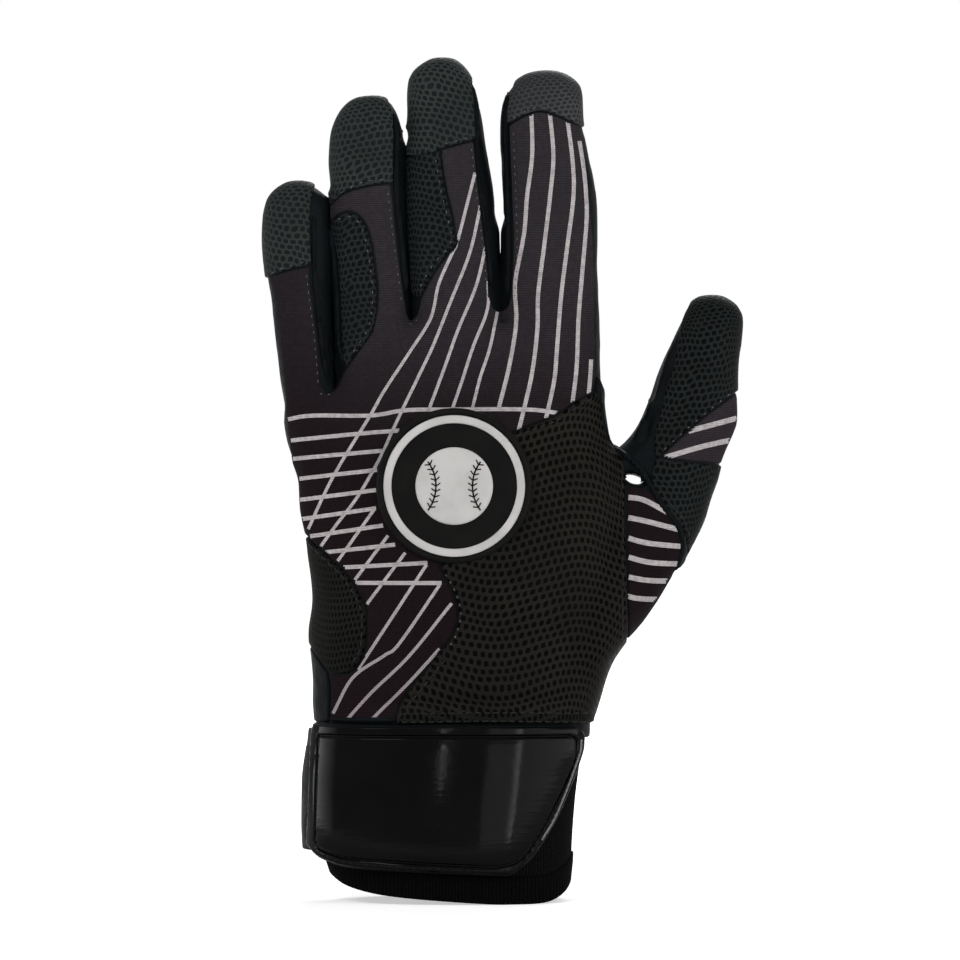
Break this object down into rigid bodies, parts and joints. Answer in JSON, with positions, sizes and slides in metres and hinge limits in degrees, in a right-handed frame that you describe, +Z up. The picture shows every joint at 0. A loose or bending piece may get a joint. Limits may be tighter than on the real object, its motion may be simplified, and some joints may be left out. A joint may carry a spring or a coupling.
{
  "type": "batting glove",
  "caption": "Left-hand sports glove with knit back, leather palm, dotted grip panels, round rubber badge and a hook-and-loop wrist strap.",
  "frame": {"origin": "centre of the wrist opening, level with the cuff rim that the glove stands on", "axes": "+Z up the fingers, -Y out of the back of the hand, +Y out of the palm, +X towards the thumb"},
  "size_m": [0.1235, 0.0454, 0.2188],
  "materials": {
    "knit": "fine stretch knit with thin pale stripes",
    "leather": "smooth black leather",
    "dot_texture": "matte with small embossed dots in wavy rows",
    "tip_texture": "grey-green with small embossed dots",
    "strap_gloss": "glossy moulded film",
    "rib_knit": "black rib knit",
    "badge_black": "satin moulded rubber",
    "badge_white": "satin moulded rubber",
    "hook_loop": "hook-and-loop tape"
  },
  "bodies": {
    "hand": {"palm_leather": "leather", "back_print_panel": "knit", "grip_panel": "dot_texture", "ulnar_grip_panel": "dot_texture", "ulnar_leather": "leather", "thumb_web_panel": "knit", "thumb_strap_panel": "tip_texture", "badge_base": "badge_black", "badge_ring": "badge_white", "badge_motif": "badge_white", "cuff": "rib_knit", "cuff_hem": "rib_knit", "strap_anchor": "leather", "loop_patch": "hook_loop"},
    "strap": {"hook_patch": "hook_loop", "strap_backing": "leather", "strap_panel": "strap_gloss", "strap_rim": "strap_gloss"},
    "little_first": {"little_back": "knit", "little_palm": "leather", "little_side_ulnar": "leather", "little_side_radial": "leather"},
    "little_last": {"little_tip_overlay": "tip_texture", "little_tip_back": "knit", "little_tip_palm": "leather", "little_tip_band": "leather"},
    "ring_first": {"ring_insert": "tip_texture", "ring_back": "knit", "ring_palm": "leather", "ring_side_ulnar": "leather", "ring_side_radial": "leather"},
    "ring_last": {"ring_tip_overlay": "tip_texture", "ring_tip_back": "knit", "ring_tip_palm": "leather", "ring_tip_band": "leather"},
    "middle_first": {"middle_insert": "tip_texture", "middle_back": "knit", "middle_palm": "leather", "middle_side_ulnar": "leather", "middle_side_radial": "leather"},
    "middle_last": {"middle_tip_overlay": "tip_texture", "middle_tip_back": "knit", "middle_tip_palm": "leather", "middle_tip_band": "leather"},
    "index_first": {"index_back": "knit", "index_palm": "leather", "index_side_ulnar": "leather", "index_side_radial": "leather"},
    "index_last": {"index_tip_overlay": "tip_texture", "index_tip_back": "knit", "index_tip_palm": "leather", "index_tip_band": "leather"},
    "thumb": {"thumb_print": "knit", "thumb_back": "tip_texture", "thumb_palm": "leather", "thumb_band": "leather"}
  },
  "joints": [
    {"name": "strap_hinge", "type": "hinge", "parent": "hand", "child": "strap", "pos_m": [-0.0374, -0.0075, 0.027], "axis": [0, 0, -1], "range_deg": [0, 120]},
    {"name": "little_knuckle", "type": "hinge", "parent": "hand", "child": "little_first", "pos_m": [-0.0375, 0.0084, 0.136], "axis": [-0.9976, 0, -0.0698], "range_deg": [0, 75]},
    {"name": "little_middle_knuckle", "type": "hinge", "parent": "little_first", "child": "little_last", "pos_m": [-0.03904, 0.008, 0.15795], "axis": [-0.9976, 0, -0.0698], "range_deg": [0, 75]},
    {"name": "ring_knuckle", "type": "hinge", "parent": "hand", "child": "ring_first", "pos_m": [-0.0189, 0.0087, 0.152], "axis": [-0.999, 0, -0.0436], "range_deg": [0, 75]},
    {"name": "ring_middle_knuckle", "type": "hinge", "parent": "ring_first", "child": "ring_last", "pos_m": [-0.02003, 0.0083, 0.17797], "axis": [-0.999, 0, -0.0436], "range_deg": [0, 75]},
    {"name": "middle_finger_knuckle", "type": "hinge", "parent": "hand", "child": "middle_first", "pos_m": [0.0019, 0.0089, 0.156], "axis": [-0.9969, 0, -0.0785], "range_deg": [0, 75]},
    {"name": "middle_finger_middle_knuckle", "type": "hinge", "parent": "middle_first", "child": "middle_last", "pos_m": [-0.00045, 0.0085, 0.18591], "axis": [-0.9969, 0, -0.0785], "range_deg": [0, 75]},
    {"name": "index_knuckle", "type": "hinge", "parent": "hand", "child": "index_first", "pos_m": [0.0263, 0.0091, 0.156], "axis": [-0.9994, 0, -0.0349], "range_deg": [0, 75]},
    {"name": "index_middle_knuckle", "type": "hinge", "parent": "index_first", "child": "index_last", "pos_m": [0.02532, 0.0087, 0.18398], "axis": [-0.9994, 0, -0.0349], "range_deg": [0, 75]},
    {"name": "thumb_crease", "type": "hinge", "parent": "hand", "child": "thumb", "pos_m": [0.0572, 0.0123, 0.1157], "axis": [-0.9914, 0, 0.1305], "range_deg": [0, 50]}
  ],
  "couplings": [
    {"joint": "little_middle_knuckle", "follows": "little_knuckle", "ratio": 1},
    {"joint": "ring_middle_knuckle", "follows": "ring_knuckle", "ratio": 1},
    {"joint": "middle_finger_middle_knuckle", "follows": "middle_finger_knuckle", "ratio": 1},
    {"joint": "index_middle_knuckle", "follows": "index_knuckle", "ratio": 1}
  ]
}
